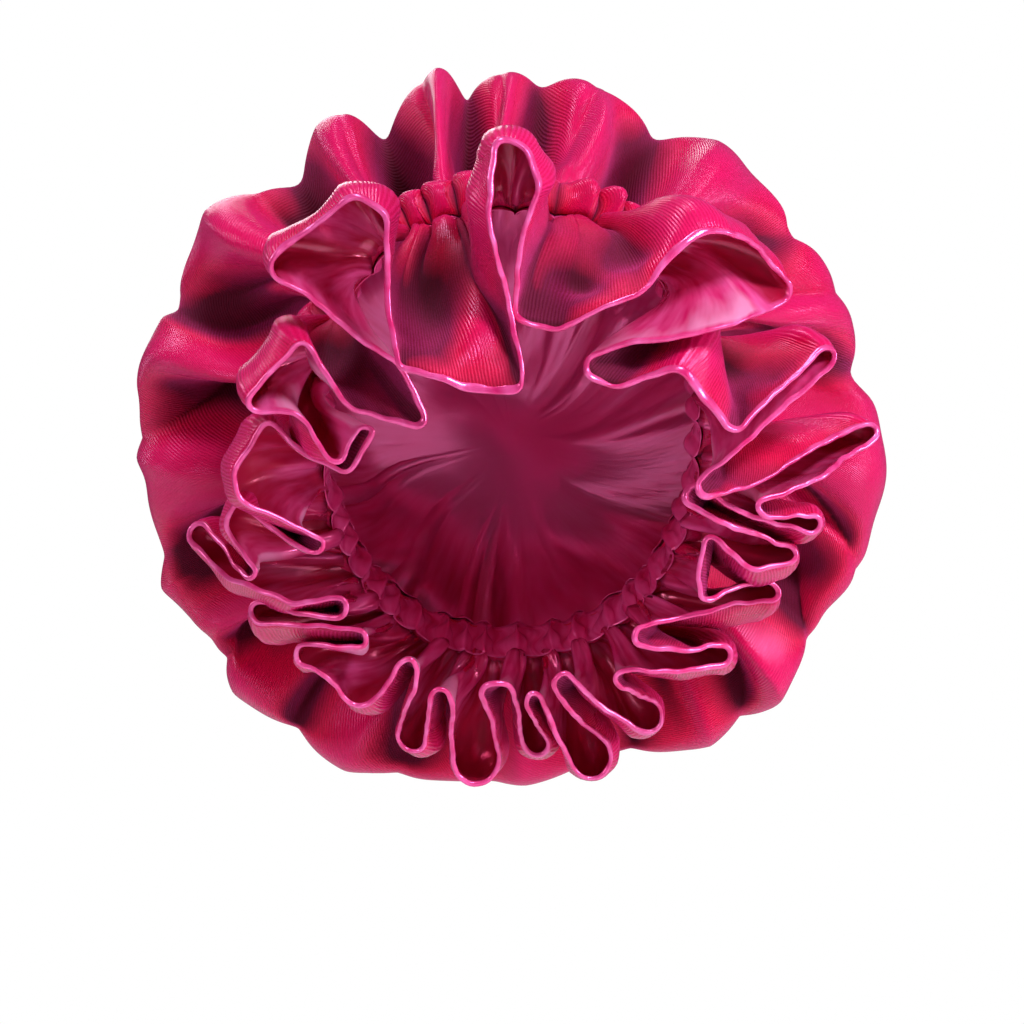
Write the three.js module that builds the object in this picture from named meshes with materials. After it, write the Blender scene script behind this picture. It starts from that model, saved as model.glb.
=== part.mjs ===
// Ruffled hair bonnet: a full bag, a ruched band and a wide folded ruffle, each layer of cloth its own piece.
// Millimetres, +Z up, the face opening toward -Y, the origin at the centre of the band's loop.
import * as THREE from 'three';

// the band's loop: half width, half height, depth from front to nape, and how square its corners are
const band = { halfWide: 76, halfTall: 88, midZ: -4, midY: 5, lean: 67, square: 0.9, wide: 16 };
// cloth thicknesses and the gap kept between two pieces
const cloth = { crown: 1.6, crownLining: 1.1, velvet: 1.1, satin: 1.0, casing: 2.4, gap: 0.3 };
// the ruffle: rows from band to rim, outward arch, the radius of a gather at the band, the rolled satin edge
const ruffle = { rows: 2, arch: 9, gather: 1.8, edge: 3.2, turnTwo: 50, turnThree: 120, longLeg: 40 };
// the casing's ruches: number round the band, steps in each, puff of the channel and depth of a ruche
const ruche = { count: 30, steps: 2, puff: 5, deep: 2.6 };
// the bag: back of the crown, steps along a lobe, rows before and behind the widest line, crease depth
const crown = { backY: 150, backZ: -4, lobeSteps: 4, frontRows: 3, backRows: 4, crease: 9, round: 0.6,
  rise: 0.55, roll: 0.34 };
// where the bag is widest its depth follows the height: y = at0 - slope * z
const widest = { at0: 52, slope: 0.34 };

// the bag's outline, clockwise as seen from the front: valley x, z, then lobe top x, z, then the band angle
// in degrees where the valley's crease starts
const lobes = [
  [12, 136, 35, 140, 4],
  [56, 115, 92, 113, 22],
  [114, 78, 140, 52, 50],
  [138, 21, 158, -20, 78],
  [132, -73, 116, -104, 122],
  [81, -131, 59, -136, 150],
  [38, -137, -9, -149, 164],
  [-60, -142, -93, -129, 194],
  [-121, -100, -130, -83, 216],
  [-144, -65, -152, -24, 238],
  [-152, 13, -151, 30, 268],
  [-134, 49, -120, 90, 290],
  [-85, 98, -70, 129, 318],
  [-49, 114, -31, 144, 334],
  [-19, 128, -4, 145, 350],
];

// the ruffle's folds, clockwise from the top: the rim runs like a belt round these pins, seen from the front.
// x, y, z of the pin, its radius, side 1 where a fold turns outward and -1 inward, and its band angle
const folds = [
  [1, -125, 99, 5.2, 1, 0],
  [-1, -128, 86, 9.0, 1, 3],
  [5, -112, 41, 3.6, -1, 11],
  [18, -107, 45, 9.0, -1, 16],
  [43, -114, 57, 9.0, -1, 21],
  [76, -104, 64, 9.3, 1, 27],
  [100, -66, 55, 6.9, 1, 35],
  [81, -95, 47, 9.0, 1, 41],
  [32, -87, 20, 4.9, -1, 50],
  [40, -83, 22, 9.0, -1, 53],
  [65, -92, 17, 4.9, 1, 57],
  [86, -75, 3, 5.0, -1, 64],
  [122, -54, 27, 3.6, 1, 70],
  [74, -61, -26, 4.6, -1, 81],
  [140, -11, -2, 3.6, 1, 90],
  [120, -35, -12, 7.8, 1, 94],
  [100, -49, -29, 3.6, -1, 98],
  [116, -28, -38, 3.6, 1, 102],
  [70, -45, -28, 4.7, -1, 107],
  [92, -38, -32, 9.0, -1, 110],
  [108, -18, -50, 4.0, 1, 114],
  [100, -23, -48, 9.0, 1, 117],
  [77, -30, -46, 3.6, -1, 120],
  [80, -28, -57, 7.9, -1, 123],
  [77, -23, -63, 3.9, -1, 125],
  [92, -13, -72, 9.0, 1, 128],
  [104, 4, -65, 3.6, 1, 131],
  [54, -13, -80, 4.0, -1, 138],
  [74, -3, -81, 9.0, -1, 141],
  [86, 11, -90, 4.0, 1, 144],
  [71, 4, -88, 9.0, 1, 147],
  [46, -1, -99, 4.8, -1, 151],
  [55, 36, -116, 6.5, 1, 156],
  [24, 13, -104, 4.0, -1, 161],
  [33, 50, -132, 8.5, 1, 165.5],
  [9, 20, -111, 4.5, -1, 171],
  [9, 54, -128, 5.0, 1, 174.5],
  [-7, 16, -107, 6.5, -1, 179],
  [-14, 56, -137, 9.0, 1, 184],
  [-28, 18, -108, 4.0, -1, 189],
  [-40, 46, -126, 6.0, 1, 194],
  [-42, 10, -96, 4.5, -1, 199],
  [-62, 30, -106, 6.0, 1, 203],
  [-72, 15, -89, 8.1, 1, 206],
  [-81, 14, -89, 4.0, 1, 210],
  [-64, -6, -82, 4.0, -1, 215],
  [-82, 1, -69, 9.0, 1, 219],
  [-99, 12, -74, 4.0, 1, 222],
  [-85, -8, -64, 9.0, -1, 226],
  [-70, -19, -69, 4.0, -1, 229],
  [-86, -15, -60, 9.0, 1, 233],
  [-109, -1, -52, 9.0, 1, 237],
  [-125, 11, -41, 4.0, 1, 242],
  [-105, -25, -56, 3.6, -1, 247],
  [-109, -25, -37, 4.7, 1, 251],
  [-105, -34, -32, 3.9, 1, 254],
  [-76, -46, -44, 3.6, -1, 259],
  [-99, -47, -24, 3.6, 1, 266],
  [-96, -51, -16, 8.5, 1, 269],
  [-93, -59, -3, 3.9, 1, 272],
  [-71, -64, -5, 9.0, -1, 275],
  [-63, -65, -14, 5.0, -1, 278],
  [-55, -69, -2, 3.6, -1, 282],
  [-67, -69, -10, 3.8, 1, 285],
  [-85, -77, -5, 9.0, -1, 289],
  [-95, -72, 8, 3.6, 1, 292],
  [-80, -86, 27, 3.6, 1, 298],
  [-56, -83, 14, 9.0, -1, 302],
  [-37, -74, 4, 4.2, -1, 306],
  [-49, -84, 17, 9.0, -1, 311],
  [-86, -92, 59, 5.3, 1, 320],
  [-57, -110, 77, 6.7, 1, 326],
  [-52, -114, 73, 6.7, 1, 328],
  [-37, -110, 42, 9.0, -1, 333],
  [-35, -106, 24, 6.8, -1, 337],
  [-16, -110, 20, 9.0, -1, 342],
  [-1, -106, 17, 5.3, -1, 346],
  [2, -127, 76, 9.0, 1, 355],
  [4, -127, 93, 9.0, 1, 358],
];

const rad = THREE.MathUtils.degToRad;
const power = (c, e) => Math.sign(c) * Math.abs(c) ** e;

// point of the band's front edge at an angle, 0 at the top and growing clockwise as seen from the front
const bandPoint = (deg) => new THREE.Vector3(
  band.halfWide * power(Math.sin(rad(deg)), band.square),
  band.midY - band.lean * power(Math.cos(rad(deg)), band.square),
  band.midZ + band.halfTall * power(Math.cos(rad(deg)), band.square),
);

// the loop lies in a leaning plane: `forward` is square to it, `outward` points away from its middle
const forward = new THREE.Vector3(0, -band.halfTall, -band.lean).normalize();
const outwardAt = (deg) => {
  const step = bandPoint(deg + 1).sub(bandPoint(deg - 1)).normalize();
  return forward.clone().cross(step).normalize();
};

// A closed solid from a ring of profiles: columns[i] is a closed loop of points, the same number in each.
// The side that comes back, from point `back` on, splits its quads the other way, so both skins match.
function ringSolid(columns, back) {
  const count = columns.length, size = columns[0].length;
  const positions = columns.flat().flatMap((p) => [p.x, p.y, p.z]);
  const index = [];
  for (let i = 0; i < count; i++) {
    const a = i * size, b = ((i + 1) % count) * size;
    for (let k = 0; k < size; k++) {
      const m = (k + 1) % size;
      if (k < back) index.push(a + k, b + k, b + m, a + k, b + m, a + m);
      else index.push(a + k, b + k, a + m, b + k, b + m, a + m);
    }
  }
  return solid(positions, index);
}

// buffer geometry from points and triangles, turned so that its volume counts as positive
function solid(positions, index) {
  let volume = 0;
  const p = (i) => new THREE.Vector3().fromArray(positions, 3 * i);
  for (let i = 0; i < index.length; i += 3) {
    volume += p(index[i]).dot(p(index[i + 1]).cross(p(index[i + 2])));
  }
  if (volume < 0) index.reverse();
  const geometry = new THREE.BufferGeometry();
  geometry.setAttribute('position', new THREE.Float32BufferAttribute(positions, 3));
  geometry.setIndex(index);
  geometry.computeVertexNormals();
  return geometry;
}

// normals of a grid of points that closes round in its first direction
function gridNormals(grid) {
  const count = grid.length, rows = grid[0].length;
  return grid.map((column, i) => column.map((_, j) => {
    const along = grid[(i + 1) % count][j].clone().sub(grid[(i + count - 1) % count][j]);
    const across = column[Math.min(j + 1, rows - 1)].clone().sub(column[Math.max(j - 1, 0)]);
    return across.cross(along).normalize();
  }));
}

// point and offset along its normal
const off = (grid, normals, i, j, n) => grid[i][j].clone().addScaledVector(normals[i][j], n);

// Ruffle: each row is a belt round the pins. From band to rim the pins move from the band out to the folds
// and grow from the gather's radius to their own.
function beltRow(t, plan) {
  const pins = folds.map(([x, y, z, r, side, at]) => {
    const start = bandPoint(at).addScaledVector(forward, cloth.gap);
    const p = start.lerp(new THREE.Vector3(x, y, z), t);
    p.addScaledVector(outwardAt(at), ruffle.arch * 4 * t * (1 - t));
    return { x: p.x, y: p.y, z: p.z, r: THREE.MathUtils.lerp(ruffle.gather, r, t), side };
  });
  const count = pins.length;
  // direction of the straight leg from each pin to the next, tangent to both
  const legs = pins.map((a, i) => {
    const b = pins[(i + 1) % count];
    const dx = b.x - a.x, dz = b.z - a.z, size = Math.hypot(dx, dz);
    const k = b.side * b.r - a.side * a.r;
    return Math.atan2(dz, dx) + Math.asin(THREE.MathUtils.clamp(k / size, -0.98, 0.98));
  });
  const turns = pins.map((a, i) => {
    let turn = legs[i] - legs[(i + count - 1) % count];
    while (turn > Math.PI) turn -= 2 * Math.PI;
    while (turn < -Math.PI) turn += 2 * Math.PI;
    // a fold may wrap its pin by more than half a turn
    if (a.side > 0 && turn > 0.6 * Math.PI) turn -= 2 * Math.PI;
    if (a.side < 0 && turn < -0.6 * Math.PI) turn += 2 * Math.PI;
    return turn;
  });
  plan ??= pins.map((a, i) => {
    const b = pins[(i + 1) % count], turn = Math.abs(turns[i]);
    return {
      arc: turn < rad(ruffle.turnTwo) ? 1 : turn < rad(ruffle.turnThree) ? 2 : 3,
      leg: Math.hypot(b.x - a.x, b.z - a.z) > ruffle.longLeg,
    };
  });
  const row = [];
  pins.forEach((a, i) => {
    const from = legs[(i + count - 1) % count];
    const { arc, leg } = plan[i];
    for (let k = 0; k < arc; k++) {
      const share = arc === 1 ? 0.5 : k / (arc - 1);
      // where a row hardly folds and a pin would be wrapped backwards, the belt slides past it instead
      const wraps = turns[i] * a.side < 0;
      const angle = from + turns[i] * (wraps ? share : 0.5), slide = wraps ? 0 : (share - 0.5) * a.r;
      const dx = Math.cos(angle) * slide - Math.sin(angle) * a.side * a.r;
      const dz = Math.sin(angle) * slide + Math.cos(angle) * a.side * a.r;
      // the gathers at the band stay in its leaning plane
      row.push(new THREE.Vector3(a.x + dx, a.y - (1 - t) * dz * band.lean / band.halfTall, a.z + dz));
    }
    if (leg) row.push(null);
  });
  row.forEach((p, i) => {
    if (!p) row[i] = row[i - 1].clone().lerp(row[(i + 1) % row.length], 0.5);
  });
  return { row, plan };
}

function ruffleGrid() {
  const rim = beltRow(1);
  const rows = [];
  for (let j = 0; j <= ruffle.rows; j++) rows.push(beltRow(j / ruffle.rows, rim.plan).row);
  return rows[0].map((_, i) => rows.map((row) => row[i]));
}

// velvet layer on the side away from the head
function ruffleVelvet(grid, normals) {
  const rows = ruffle.rows + 1, half = cloth.gap / 2;
  return ringSolid(grid.map((_, i) => {
    const near = [], far = [];
    for (let j = 0; j < rows; j++) {
      near.push(off(grid, normals, i, j, half));
      far.unshift(off(grid, normals, i, j, half + cloth.velvet));
    }
    return [...near, ...far];
  }), rows);
}

// satin layer on the head's side; at the rim it turns over the velvet's edge
function ruffleLining(grid, normals) {
  const rows = ruffle.rows + 1, half = cloth.gap / 2;
  return ringSolid(grid.map((_, i) => {
    const last = rows - 1;
    const way = grid[i][last].clone().sub(grid[i][last - 1]).normalize();
    const lip = (n, d) => off(grid, normals, i, last, n).addScaledVector(way, d);
    const near = [], far = [];
    for (let j = 0; j < rows; j++) {
      near.push(off(grid, normals, i, j, -half));
      far.unshift(off(grid, normals, i, j, -half - cloth.satin));
    }
    return [
      ...near,
      lip(-half, cloth.gap), lip(half + cloth.velvet, cloth.gap), lip(half + cloth.velvet, ruffle.edge),
      lip(-half - cloth.satin, ruffle.edge), ...far,
    ];
  }), rows + 3);
}

// Casing: a strip behind the band's front edge that puffs out at mid width and ruches round the head.
function bandCasing() {
  const count = ruche.count * ruche.steps, columns = [];
  for (let i = 0; i < count; i++) {
    const deg = 360 * i / count;
    const out = outwardAt(deg), start = bandPoint(deg);
    const wave = Math.cos(2 * Math.PI * i / ruche.steps);
    const at = (t, n) => start.clone()
      .addScaledVector(forward, -cloth.gap - (band.wide - 2 * cloth.gap) * t)
      .addScaledVector(out, n + 4 * t * (1 - t) * (ruche.puff + ruche.deep * wave));
    const half = cloth.casing / 2;
    columns.push([at(0, -half), at(0.5, -half), at(1, -half), at(1, half), at(0.5, half), at(0, half)]);
  }
  return ringSolid(columns, 3);
}

// Crown: columns follow the lobes. The front part swells from the band to the outline like a quarter ellipse,
// the back part closes from the outline to the middle of the back.
function crownGrid() {
  const grid = [];
  lobes.forEach(([vx, vz, px, pz, at], i) => {
    const [nx, nz, , , nextAt] = lobes[(i + 1) % lobes.length];
    const chord = new THREE.Vector2(nx - vx, nz - vz);
    const top = new THREE.Vector2(px - vx, pz - vz);
    const topAt = THREE.MathUtils.clamp(top.dot(chord) / chord.lengthSq(), 0.3, 0.7);
    const lift = top.clone().addScaledVector(chord, -topAt);
    for (let k = 0; k < crown.lobeSteps; k++) {
      const t = k / crown.lobeSteps;
      const bump = Math.sin(Math.PI * (t < topAt ? t / topAt : 1 + (t - topAt) / (1 - topAt)) / 2) ** crown.round;
      const x = vx + chord.x * t + lift.x * bump, z = vz + chord.y * t + lift.y * bump;
      const turn = ((nextAt - at + 360) % 360) * t;
      grid.push(crownColumn(at + turn, x, z, bump));
    }
  });
  return grid;
}

// one column of the crown from the band to near the back; `bump` is 0 in a crease and 1 on a lobe
function crownColumn(deg, x, z, bump) {
  const start = bandPoint(deg).addScaledVector(forward, -band.wide - 1.5 * cloth.gap);
  const widestY = widest.at0 - widest.slope * z;
  // a cubic curve that leaves the band in its plane and reaches the outline on its way back
  const whole = new THREE.Vector3(x, widestY, z).sub(start);
  const out = whole.clone().addScaledVector(forward, -whole.dot(forward));
  const curve = new THREE.CubicBezierCurve3(
    start, start.clone().addScaledVector(out, crown.rise),
    new THREE.Vector3(x, widestY - crown.roll * Math.hypot(whole.x, whole.z), z), new THREE.Vector3(x, widestY, z),
  );
  const column = [];
  for (let j = 0; j <= crown.frontRows; j++) {
    const s = j / crown.frontRows;
    const crease = crown.crease * (1 - bump) * Math.sin(s * Math.PI);
    column.push(curve.getPoint(s).addScaledVector(forward, -crease));
  }
  for (let j = 1; j <= crown.backRows; j++) {
    const s = j / (crown.backRows + 0.6), reach = Math.cos(s * Math.PI / 2);
    column.push(new THREE.Vector3(
      x * reach,
      widestY + (crown.backY - widestY) * Math.sin(s * Math.PI / 2),
      crown.backZ + (z - crown.backZ) * reach,
    ));
  }
  return column;
}

// a layer of the bag between two distances inward from the grid (its normals point into the bag); each skin
// is closed at the back by a fan
function crownLayer(grid, normals, outer, inner) {
  const count = grid.length, rows = grid[0].length, positions = [], index = [];
  const push = (p) => positions.push(p.x, p.y, p.z) / 3 - 1;
  const layer = (n) => grid.map((column, i) => column.map((_, j) => push(off(grid, normals, i, j, n))));
  const skins = [layer(outer), layer(inner)];
  const back = (n) => push(new THREE.Vector3(0, crown.backY - n, crown.backZ));
  const poles = [back(outer), back(inner)];
  for (let i = 0; i < count; i++) {
    const m = (i + 1) % count;
    skins.forEach((skin, side) => {
      const quad = (a, b, c, d) => (side ? index.push(a, c, b, a, d, c) : index.push(a, b, c, a, c, d));
      for (let j = 0; j < rows - 1; j++) quad(skin[i][j], skin[i][j + 1], skin[m][j + 1], skin[m][j]);
      const [a, b, c] = [skin[i][rows - 1], poles[side], skin[m][rows - 1]];
      if (side) index.push(a, c, b); else index.push(a, b, c);
    });
    const [outerSkin, innerSkin] = skins;
    index.push(outerSkin[i][0], outerSkin[m][0], innerSkin[m][0]);
    index.push(outerSkin[i][0], innerSkin[m][0], innerSkin[i][0]);
  }
  return solid(positions, index);
}

const velvet = new THREE.MeshStandardMaterial({ name: 'velvet', color: 0xa80f3c, roughness: 0.9, side: 2 });
const satin = new THREE.MeshStandardMaterial({ name: 'satin', color: 0xd4528e, roughness: 0.4, side: 2 });

function piece(name, geometry, material) {
  const mesh = new THREE.Mesh(geometry, material);
  mesh.name = name;
  return mesh;
}

const folded = ruffleGrid(), foldedNormals = gridNormals(folded);
// the ruffle starts square to the band's plane, so its layers stay clear of the casing
foldedNormals.forEach(([first]) => first.addScaledVector(forward, -first.dot(forward)).normalize());
const bag = crownGrid(), bagNormals = gridNormals(bag);
const liningDepth = cloth.crown + 2 * cloth.gap;

const bonnet = new THREE.Group();
bonnet.name = 'hair_bonnet';
bonnet.add(
  piece('crown_shell', crownLayer(bag, bagNormals, 0, cloth.crown), velvet),
  piece('crown_lining', crownLayer(bag, bagNormals, liningDepth, liningDepth + cloth.crownLining), satin),
  piece('band_casing', bandCasing(), velvet),
  piece('ruffle_velvet', ruffleVelvet(folded, foldedNormals), velvet),
  piece('ruffle_lining', ruffleLining(folded, foldedNormals), satin),
);
export default bonnet;
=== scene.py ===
# Ruffled hair bonnet: velvet outside, satin inside, a ruched band and a wide folded ruffle.
# The tables are in millimetres; the meshes are in metres, in the CAD frame: +Z up, face toward -Y.
import bpy
import math
import numpy as np
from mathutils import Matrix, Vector


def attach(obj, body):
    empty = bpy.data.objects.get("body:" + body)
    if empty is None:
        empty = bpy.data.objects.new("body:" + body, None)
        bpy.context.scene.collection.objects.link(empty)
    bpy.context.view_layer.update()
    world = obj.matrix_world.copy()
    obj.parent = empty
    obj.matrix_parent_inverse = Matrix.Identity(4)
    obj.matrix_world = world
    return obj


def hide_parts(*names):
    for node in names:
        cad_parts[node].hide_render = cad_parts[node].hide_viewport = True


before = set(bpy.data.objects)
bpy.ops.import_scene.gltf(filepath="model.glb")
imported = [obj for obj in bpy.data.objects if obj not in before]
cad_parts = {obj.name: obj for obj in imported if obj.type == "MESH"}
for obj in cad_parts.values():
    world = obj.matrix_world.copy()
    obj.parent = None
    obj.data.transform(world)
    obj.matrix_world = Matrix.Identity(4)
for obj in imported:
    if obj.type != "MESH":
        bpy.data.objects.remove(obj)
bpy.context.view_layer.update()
print("frame loaded")

mm = 0.001

# the band's loop, as in the CAD: half width and height, its middle, its lean, squareness, casing's width
band = {"halfWide": 76, "halfTall": 88, "midZ": -4, "midY": 5, "lean": 67, "square": 0.9, "wide": 16}

# the flat cuts: the bag's circle and the way its ribs run, degrees from the top; the two strips
cut = {"bag": 255, "ribsAt": 52, "casingLong": 860, "casingWide": 20, "ruffleLong": 2000,
       "ruffleWide": 70}

# the bag's outline, clockwise from the front: valley x, z, lobe top x, z, and the band angle where the
# crease between two lobes starts
lobes = np.array([
    [12, 136, 35, 140, 4],
    [56, 115, 92, 113, 22],
    [114, 78, 140, 52, 50],
    [138, 21, 158, -20, 78],
    [132, -73, 116, -104, 122],
    [81, -131, 59, -136, 150],
    [38, -137, -9, -149, 164],
    [-60, -142, -93, -129, 194],
    [-121, -100, -130, -83, 216],
    [-144, -65, -152, -24, 238],
    [-152, 13, -151, 30, 268],
    [-134, 49, -120, 90, 290],
    [-85, 98, -70, 129, 318],
    [-49, 114, -31, 144, 334],
    [-19, 128, -4, 145, 350],
], float)

# the ruffle's folds, clockwise from the top: the rim runs like a belt round these pins.
# x, y, z of the pin, its radius, side 1 where a fold turns outward and -1 inward, and its band angle
folds = np.array([
    [2, -125, 98, 6.8, 1, 0],
    [2, -128, 85, 10.5, 1, 3],
    [5, -112, 41, 3.6, -1, 11],
    [18, -107, 45, 9.0, -1, 16],
    [43, -114, 57, 9.0, -1, 21],
    [76, -104, 64, 9.3, 1, 27],
    [100, -66, 55, 6.9, 1, 35],
    [81, -95, 47, 9.0, 1, 41],
    [32, -87, 20, 4.9, -1, 50],
    [40, -83, 22, 9.0, -1, 53],
    [65, -92, 17, 4.9, 1, 57],
    [86, -75, 3, 5.0, -1, 64],
    [122, -54, 27, 3.6, 1, 70],
    [74, -61, -26, 4.6, -1, 81],
    [140, -11, -2, 3.6, 1, 90],
    [120, -35, -12, 7.8, 1, 94],
    [100, -49, -29, 3.6, -1, 98],
    [116, -28, -38, 3.6, 1, 102],
    [70, -45, -28, 4.7, -1, 107],
    [92, -38, -32, 9.0, -1, 110],
    [108, -18, -50, 4.0, 1, 114],
    [100, -23, -48, 9.0, 1, 117],
    [77, -30, -46, 3.6, -1, 120],
    [80, -28, -57, 7.9, -1, 123],
    [77, -23, -63, 3.9, -1, 125],
    [92, -13, -72, 9.0, 1, 128],
    [104, 4, -65, 3.6, 1, 131],
    [54, -13, -80, 4.0, -1, 138],
    [74, -3, -81, 9.0, -1, 141],
    [86, 11, -90, 4.0, 1, 144],
    [71, 4, -88, 9.0, 1, 147],
    [46, -1, -99, 4.8, -1, 151],
    [55, 36, -116, 6.5, 1, 156],
    [24, 13, -104, 4.0, -1, 161],
    [33, 50, -132, 8.5, 1, 165.5],
    [9, 20, -111, 4.5, -1, 171],
    [9, 54, -128, 5.0, 1, 174.5],
    [-7, 16, -107, 6.5, -1, 179],
    [-14, 56, -137, 9.0, 1, 184],
    [-28, 18, -108, 4.0, -1, 189],
    [-40, 46, -126, 6.0, 1, 194],
    [-42, 10, -96, 4.5, -1, 199],
    [-62, 30, -106, 6.0, 1, 203],
    [-72, 15, -89, 8.1, 1, 206],
    [-81, 14, -89, 4.0, 1, 210],
    [-64, -6, -82, 4.0, -1, 215],
    [-82, 1, -69, 9.0, 1, 219],
    [-99, 12, -74, 4.0, 1, 222],
    [-85, -8, -64, 9.0, -1, 226],
    [-70, -19, -69, 4.0, -1, 229],
    [-86, -15, -60, 9.0, 1, 233],
    [-109, -1, -52, 9.0, 1, 237],
    [-125, 11, -41, 4.0, 1, 242],
    [-105, -25, -56, 3.6, -1, 247],
    [-109, -25, -37, 4.7, 1, 251],
    [-105, -34, -32, 3.9, 1, 254],
    [-76, -46, -44, 3.6, -1, 259],
    [-99, -47, -24, 3.6, 1, 266],
    [-96, -51, -16, 8.5, 1, 269],
    [-93, -59, -3, 3.9, 1, 272],
    [-71, -64, -5, 9.0, -1, 275],
    [-63, -65, -14, 5.0, -1, 278],
    [-55, -69, -2, 3.6, -1, 282],
    [-67, -69, -10, 3.8, 1, 285],
    [-85, -77, -5, 9.0, -1, 289],
    [-95, -72, 8, 3.6, 1, 292],
    [-80, -86, 27, 3.6, 1, 298],
    [-56, -83, 14, 9.0, -1, 302],
    [-37, -74, 4, 4.2, -1, 306],
    [-49, -84, 17, 9.0, -1, 311],
    [-86, -92, 59, 5.3, 1, 320],
    [-57, -110, 77, 6.7, 1, 326],
    [-52, -114, 73, 6.7, 1, 328],
    [-37, -110, 42, 9.0, -1, 333],
    [-35, -106, 24, 6.8, -1, 337],
    [-16, -110, 20, 9.0, -1, 342],
    [-1, -106, 17, 5.3, -1, 346],
    [2, -127, 76, 9.0, 1, 355],
    [4, -127, 93, 9.0, 1, 358],
], float)

# folds on the bag: band angle, how far it drifts along its way, where it starts and ends from the band,
# lift of a ridge or depth of a valley, half width
bagFolds = np.array([
    [9, 4, 16, 96, -7, 5],
    [15, -4, 10, 110, 5, 9],
    [28, 6, 24, 130, 5, 12],
    [38, 14, 8, 100, -9, 6],
    [47, 6, 14, 120, 5, 9],
    [58, 8, 20, 150, -6, 9],
    [66, 12, 6, 96, -9, 6],
    [84, -6, 20, 170, 6, 14],
    [96, 24, 10, 120, -10, 7],
    [104, 16, 20, 140, 6, 10],
    [112, 20, 10, 110, -9, 6],
    [126, 22, 6, 150, 8, 9],
    [134, 14, 8, 120, -9, 6],
    [144, 10, 10, 140, 6, 8],
    [156, 6, 12, 120, -7, 7],
    [176, -6, 14, 150, 6, 12],
    [188, 4, 10, 110, -7, 7],
    [199, -4, 10, 140, 6, 9],
    [208, -6, 8, 120, -9, 6],
    [217, -6, 10, 150, 7, 9],
    [224, -8, 8, 120, -9, 6],
    [236, 4, 16, 160, 7, 12],
    [248, -6, 8, 110, -8, 7],
    [258, 2, 20, 150, 6, 10],
    [274, -14, 8, 110, -10, 7],
    [284, 6, 30, 160, 6, 12],
    [304, -14, 6, 96, -11, 6],
    [300, 8, 16, 140, 6, 10],
    [314, -2, 10, 100, -7, 6],
    [322, 4, 20, 130, 4, 8],
    [329, 0, 10, 90, -6, 5],
    [341, 2, 12, 100, -6, 5],
    [346, 2, 10, 90, 4, 6],
    [356, 2, 12, 84, -6, 5],
], float)

# dents in the ruffle: x, y, z of the middle, reach across and up, depth toward the satin side (a ridge is
# below 0)
ruffleDents = np.array([
    [-30, -106, 62, 11, 26, 19],
    [-49, -106, 66, 8, 30, -5],
    [-13, -108, 60, 7, 34, -5],
    [26, -104, 55, 10, 9, 11],
    [42, -104, 68, 12, 9, 12],
    [-68, -60, 28, 12, 12, 5],
    [104, -52, 20, 16, 8, 4],
], float)


def power(value, exponent):    # keeps the sign
    return np.sign(value) * np.abs(value) ** exponent


def smooth(t):    # 0 to 1 with flat ends
    t = np.clip(t, 0, 1)
    return t * t * (3 - 2 * t)


def unit(v):    # vectors scaled to length 1
    return v / np.maximum(np.linalg.norm(v, axis=-1, keepdims=True), 1e-9)


# A soft wave field: a sum of plane waves in seeded directions, about -1 to 1, with the given wavelength.
def softWaves(points, wavelength, seed, count=7):
    rng = np.random.default_rng(seed)
    ways = unit(rng.normal(size=(count, points.shape[-1])))
    rates = 2 * np.pi / (wavelength * rng.uniform(0.7, 1.5, count))
    phases = rng.uniform(0, 2 * np.pi, count)
    return np.sin(points @ (ways * rates[:, None]).T + phases).mean(-1) * 1.6


# A soft push in all three directions, the same for points that lie close together, so layers stay apart.
def softPush(points, wavelength, seed):
    return np.stack([softWaves(points, wavelength, seed + k) for k in range(3)], -1)


# Long wandering creases: valleys, 0 to 1 deep, along the lines where a soft wave field crosses zero.
def creases(points, spacing, narrow, seed):
    return np.exp(-(softWaves(points, spacing * 2, seed, 5) / narrow) ** 2)


# Blur round the closed first direction of a grid: a gaussian of `width` columns.
def blurRound(grid, width):
    n = len(grid)
    away = np.minimum(np.arange(n), n - np.arange(n))
    kernel = np.exp(-0.5 * (away / width) ** 2)
    spectrum = np.fft.rfft(kernel / kernel.sum()).reshape((-1,) + (1,) * (grid.ndim - 1))
    return np.fft.irfft(np.fft.rfft(grid, axis=0) * spectrum, n, axis=0)


# Normals of a grid that closes round in its first direction: across times along.
def gridNormals(grid):
    along = np.roll(grid, -1, 0) - np.roll(grid, 1, 0)
    across = np.gradient(grid, axis=1)
    return unit(np.cross(across, along))


# Point of the band's front edge at an angle: a squared ellipse in a leaning plane.
def bandPoint(deg):
    b = np.radians(deg)
    c = power(np.cos(b), band["square"])
    return np.stack([band["halfWide"] * power(np.sin(b), band["square"]),
                     band["midY"] - band["lean"] * c, band["midZ"] + band["halfTall"] * c], -1)


forward = unit(np.array([0.0, -band["halfTall"], -band["lean"]]))


# Away from the loop's middle, square to the band and to `forward`.
def outwardAt(deg):
    return unit(np.cross(forward, unit(bandPoint(deg + 1) - bandPoint(deg - 1))))


# Gathers round the band: rounded ridges with narrow valleys. Wave = 2 |cos(turns / 2)|^sharp - 1, where
# slow waves make the turns uneven and the ridges higher here and there.
gathers = {"count": 44, "jitter": 1.1, "sharp": 0.75, "seam": 1.8}


def gatherWave(deg):
    b = np.radians(deg)
    drift = np.sin(3 * b + 1) + np.sin(7 * b + 2.2) + 0.8 * np.sin(13 * b + 0.4)
    turns = gathers["count"] * b + gathers["jitter"] * drift
    ridge = np.abs(np.cos(turns / 2)) ** gathers["sharp"] * 2 - 1
    return ridge * (0.75 + 0.25 * np.sin(5 * b + 0.7) * np.sin(11 * b + 1.9))


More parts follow.
